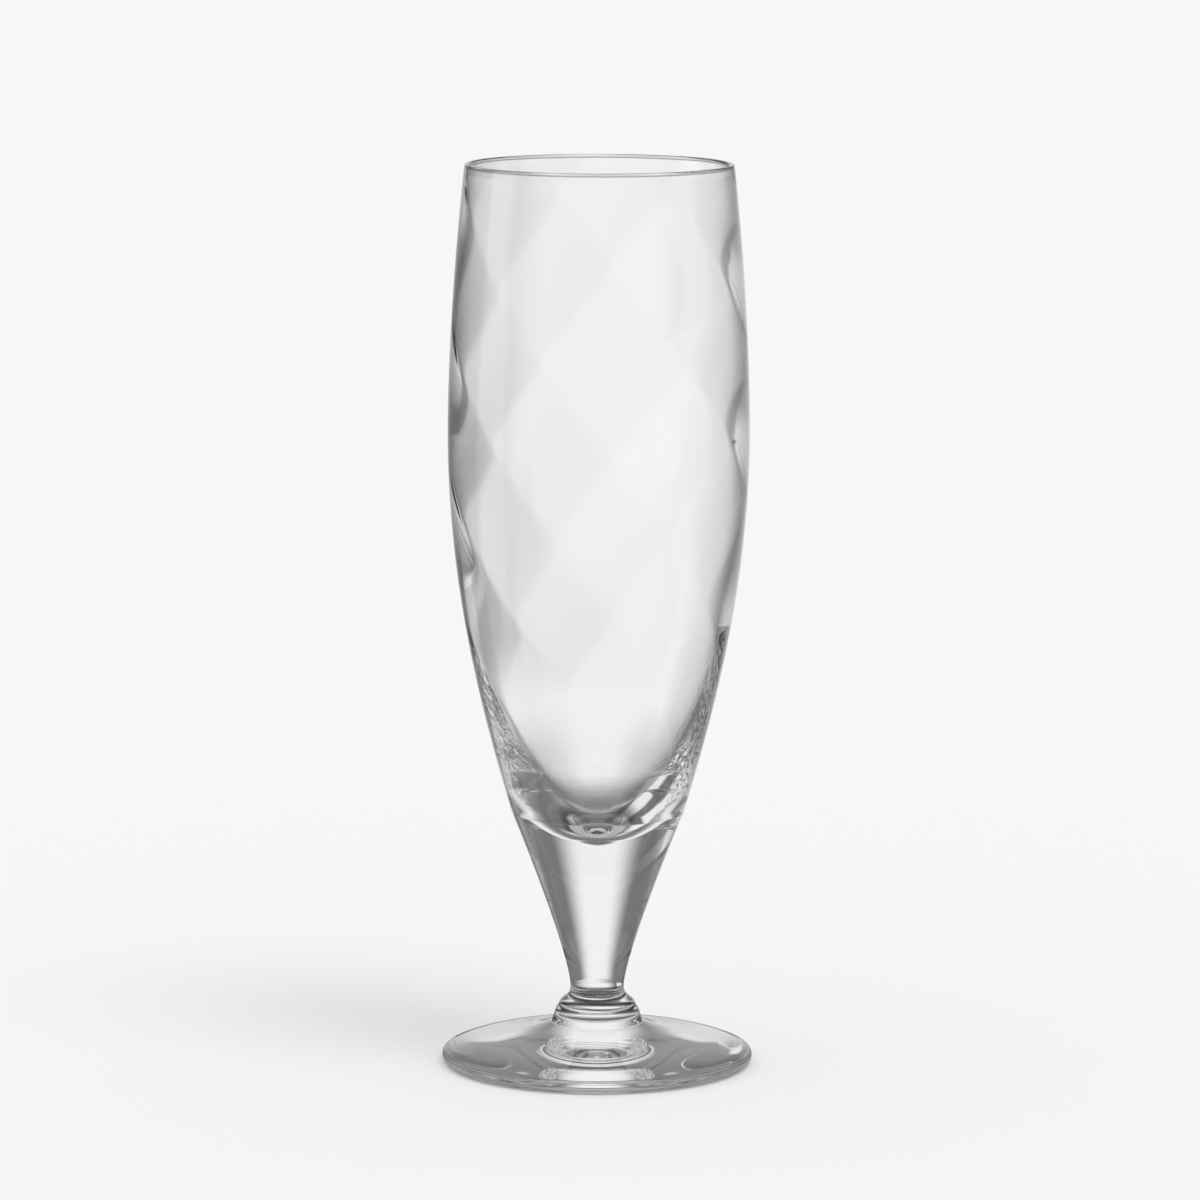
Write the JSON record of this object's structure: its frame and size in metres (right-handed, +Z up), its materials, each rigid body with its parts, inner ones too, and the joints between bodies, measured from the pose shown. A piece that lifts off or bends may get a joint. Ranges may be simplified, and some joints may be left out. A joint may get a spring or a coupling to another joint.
{
  "type": "pilsner glass",
  "caption": "Tall footed pilsner glass in clear glass: a bellied bowl with twisted optic ribs inside, on a solid tapered stem, a bell-shaped knop and a domed round foot.",
  "frame": {"origin": "on the table plane, under the middle of the foot", "axes": "+Z up along the axis of the glass; +X and +Y lie level, and -Y faces the picture's viewer"},
  "size_m": [0.0794, 0.0794, 0.23],
  "materials": {
    "clear_glass": "clear, fire-polished"
  },
  "bodies": {
    "root": {"bowl": "clear_glass", "stem": "clear_glass", "knop": "clear_glass", "foot": "clear_glass"}
  },
  "joints": []
}
